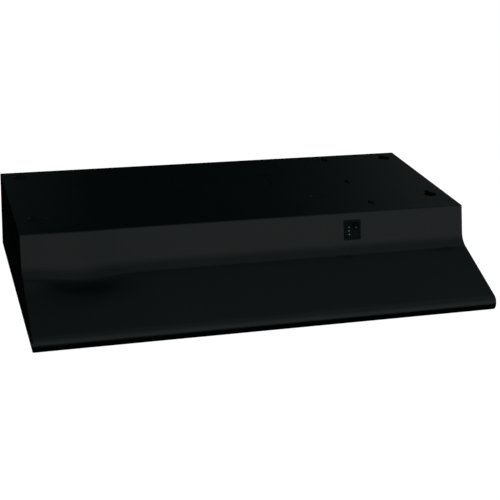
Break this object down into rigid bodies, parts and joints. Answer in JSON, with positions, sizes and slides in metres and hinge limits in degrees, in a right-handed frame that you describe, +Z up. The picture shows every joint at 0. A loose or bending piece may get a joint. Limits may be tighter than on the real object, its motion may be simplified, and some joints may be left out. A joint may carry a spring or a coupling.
{
  "type": "under cabinet range hood",
  "caption": "Ducted range hood that hangs under a kitchen cabinet, with a slanted switch face, sloping visor and rolled lip, fan, motor, lamp and swing-down filter.",
  "frame": {"origin": "on the flat top face that meets the underside of the cabinet, in the middle of its four keyholes", "axes": "+X to the right seen from the front, the front faces -Y, +Z up out of the top face"},
  "size_m": [0.759, 0.467, 0.133],
  "materials": {
    "black_enamel": "gloss",
    "galvanised_steel": "satin",
    "zinc_fastener": "satin",
    "lamination_steel": "satin",
    "motor_bracket_steel": "satin",
    "copper": "gloss",
    "bronze": "satin",
    "brass": "satin",
    "bobbin_nylon": "satin",
    "fan_aluminium": "satin",
    "filter_aluminium": "satin",
    "lamp_reflector_steel": "gloss",
    "socket_porcelain": "gloss",
    "bulb_base_metal": "gloss",
    "bulb_glass": "satin",
    "lens_plastic": "satin",
    "switch_black": "satin",
    "grommet_rubber": "matte",
    "lead_jacket": "satin",
    "ground_green": "satin"
  },
  "bodies": {
    "hood": {"top_panel": "black_enamel", "front_panel": "black_enamel", "left_side_panel": "black_enamel", "right_side_panel": "black_enamel", "rear_panel": "black_enamel", "wiring_partition": "black_enamel", "fan_housing": "galvanised_steel", "orifice_plate": "galvanised_steel", "motor_bracket": "galvanised_steel", "wiring_cover": "galvanised_steel", "filter_hinge_brackets": "galvanised_steel", "lens_hinge_brackets": "galvanised_steel", "bracket_screws": "zinc_fastener", "motor_studs": "zinc_fastener", "motor_nuts": "zinc_fastener", "motor_spacers": "zinc_fastener", "cover_screws": "zinc_fastener", "filter_latch_spring": "zinc_fastener", "motor_stator": "lamination_steel", "motor_top_bracket": "motor_bracket_steel", "motor_bottom_bracket": "motor_bracket_steel", "shading_rings": "copper", "coil_winding": "copper", "top_bearing": "bronze", "bottom_bearing": "bronze", "socket_screw_shell": "brass", "socket_contact": "brass", "switch_terminals": "brass", "coil_bobbin": "bobbin_nylon", "lamp_housing": "lamp_reflector_steel", "lamp_socket": "socket_porcelain", "bulb_base": "bulb_base_metal", "bulb_glass": "bulb_glass", "switch_bezel": "switch_black", "fan_switch_body": "switch_black", "light_switch_body": "switch_black", "lead_grommet": "grommet_rubber", "motor_lead": "lead_jacket", "lamp_lead": "lead_jacket", "ground_screw": "ground_green"},
    "fan": {"rotor": "lamination_steel", "motor_shaft": "zinc_fastener", "thrust_washers": "zinc_fastener", "fan_blade": "fan_aluminium", "fan_hub_clip": "zinc_fastener"},
    "fan_rocker_body": {"fan_rocker": "switch_black"},
    "light_rocker_body": {"light_rocker": "switch_black"},
    "filter": {"filter_frame": "filter_aluminium", "filter_mesh": "filter_aluminium", "filter_hinge_pins": "zinc_fastener", "filter_pull_tab": "filter_aluminium"},
    "lens": {"lamp_lens": "lens_plastic"}
  },
  "joints": [
    {"name": "fan_spin", "type": "hinge", "parent": "hood", "child": "fan", "pos_m": [0, 0.022, -0.074], "axis": [0, 0, 1], "continuous": true},
    {"name": "fan_rocker_tilt", "type": "hinge", "parent": "hood", "child": "fan_rocker_body", "pos_m": [0.1692, -0.17919, -0.02899], "axis": [1, 0, 0], "range_deg": [-8, 8]},
    {"name": "light_rocker_tilt", "type": "hinge", "parent": "hood", "child": "light_rocker_body", "pos_m": [0.1818, -0.17919, -0.02899], "axis": [1, 0, 0], "range_deg": [-16, 0]},
    {"name": "filter_swing", "type": "hinge", "parent": "hood", "child": "filter", "pos_m": [0, 0.1244, -0.1196], "axis": [1, 0, 0], "range_deg": [0, 75]},
    {"name": "lens_swing", "type": "hinge", "parent": "hood", "child": "lens", "pos_m": [0.3, 0.003, -0.118], "axis": [1, 0, 0], "range_deg": [0, 75]}
  ]
}
